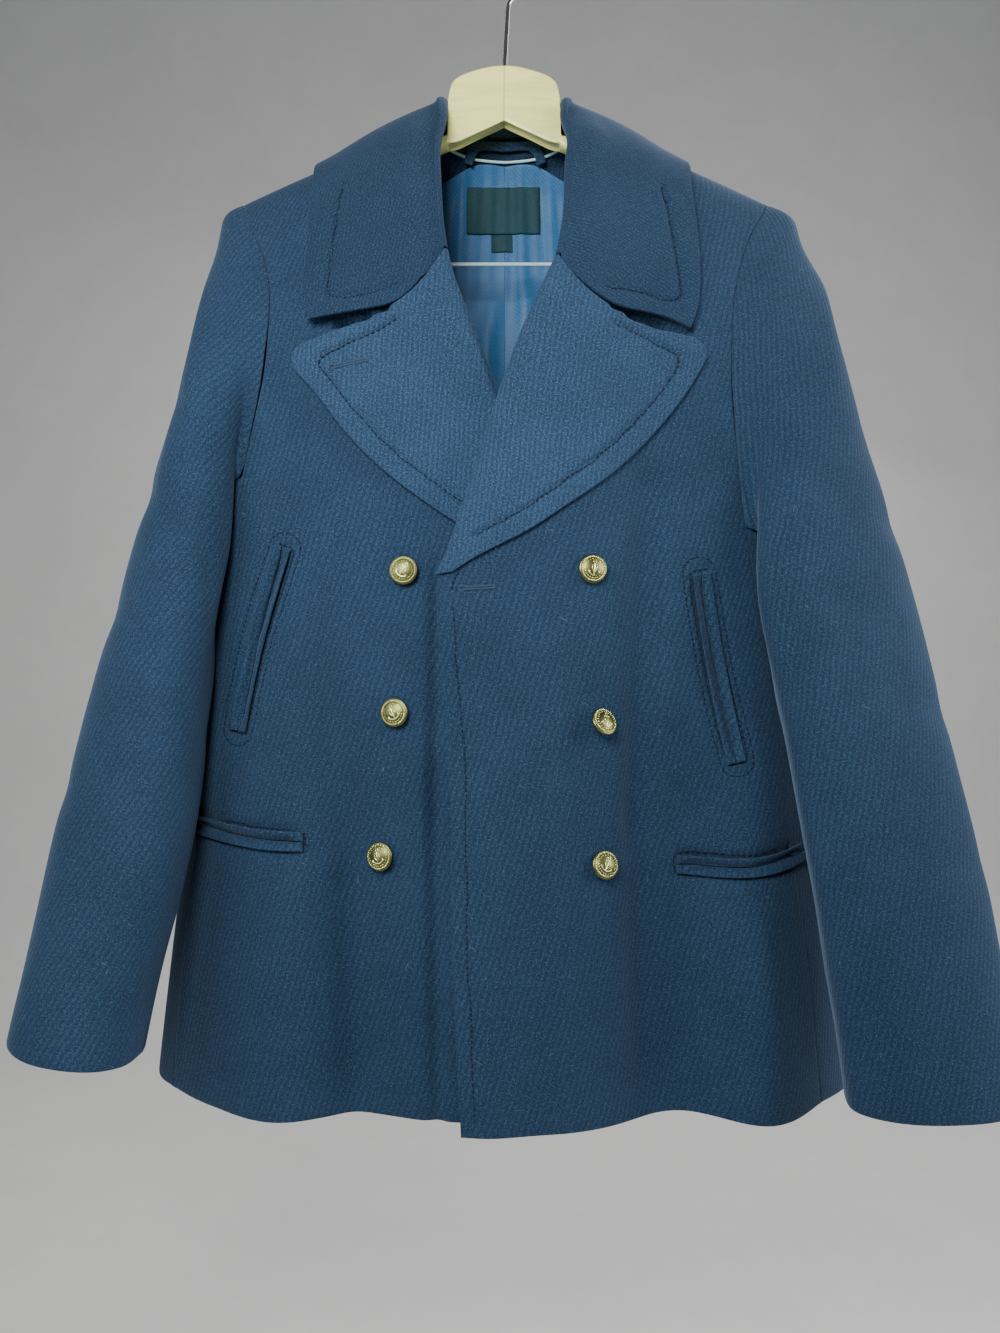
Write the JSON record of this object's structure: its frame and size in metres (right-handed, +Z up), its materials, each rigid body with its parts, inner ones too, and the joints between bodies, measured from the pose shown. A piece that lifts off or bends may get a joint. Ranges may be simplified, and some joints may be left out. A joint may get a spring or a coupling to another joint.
{
  "type": "pea coat on a hanger",
  "caption": "Navy wool twill double-breasted pea coat with wide notched lapels and dull brass buttons, on a maple hanger with a chrome hook.",
  "frame": {"origin": "top inside of the hanger's hook, where it bears on a rail", "axes": "+Z up, against the pull of the hanging coat; the front faces -Y; +X is to the right seen from the front"},
  "size_m": [0.6821, 0.2112, 0.8672],
  "materials": {
    "melton": "navy wool twill with a short nap",
    "lining": "blue satin lining",
    "piping": "pale satin piping",
    "label": "blank woven label",
    "button_brass": "dull antique brass",
    "maple": "pale maple with a satin varnish",
    "chrome": "polished chrome wire"
  },
  "bodies": {
    "root": {"back": "melton", "button_1_left": "button_brass", "button_1_right": "button_brass", "button_2_left": "button_brass", "button_2_right": "button_brass", "button_3_left": "button_brass", "button_3_right": "button_brass", "collar": "melton", "collar_stand": "melton", "front_left": "melton", "front_right": "melton", "hang_loop": "melton", "hanger_arm_left": "maple", "hanger_arm_right": "maple", "hanger_hook": "chrome", "lapel_left": "melton", "lapel_right": "melton", "lining_back_left": "lining", "lining_back_right": "lining", "low_pocket_left_jet_a": "melton", "low_pocket_left_jet_b": "melton", "low_pocket_right_jet_a": "melton", "low_pocket_right_jet_b": "melton", "main_label": "label", "neck_piping": "piping", "side_panel_left": "melton", "side_panel_right": "melton", "size_label": "label", "sleeve_under_left": "melton", "sleeve_under_right": "melton", "sleeve_upper_left": "melton", "sleeve_upper_right": "melton", "trouser_bar": "maple", "welt_pocket_left_jet_a": "melton", "welt_pocket_left_jet_b": "melton", "welt_pocket_right_jet_a": "melton", "welt_pocket_right_jet_b": "melton"}
  },
  "joints": []
}
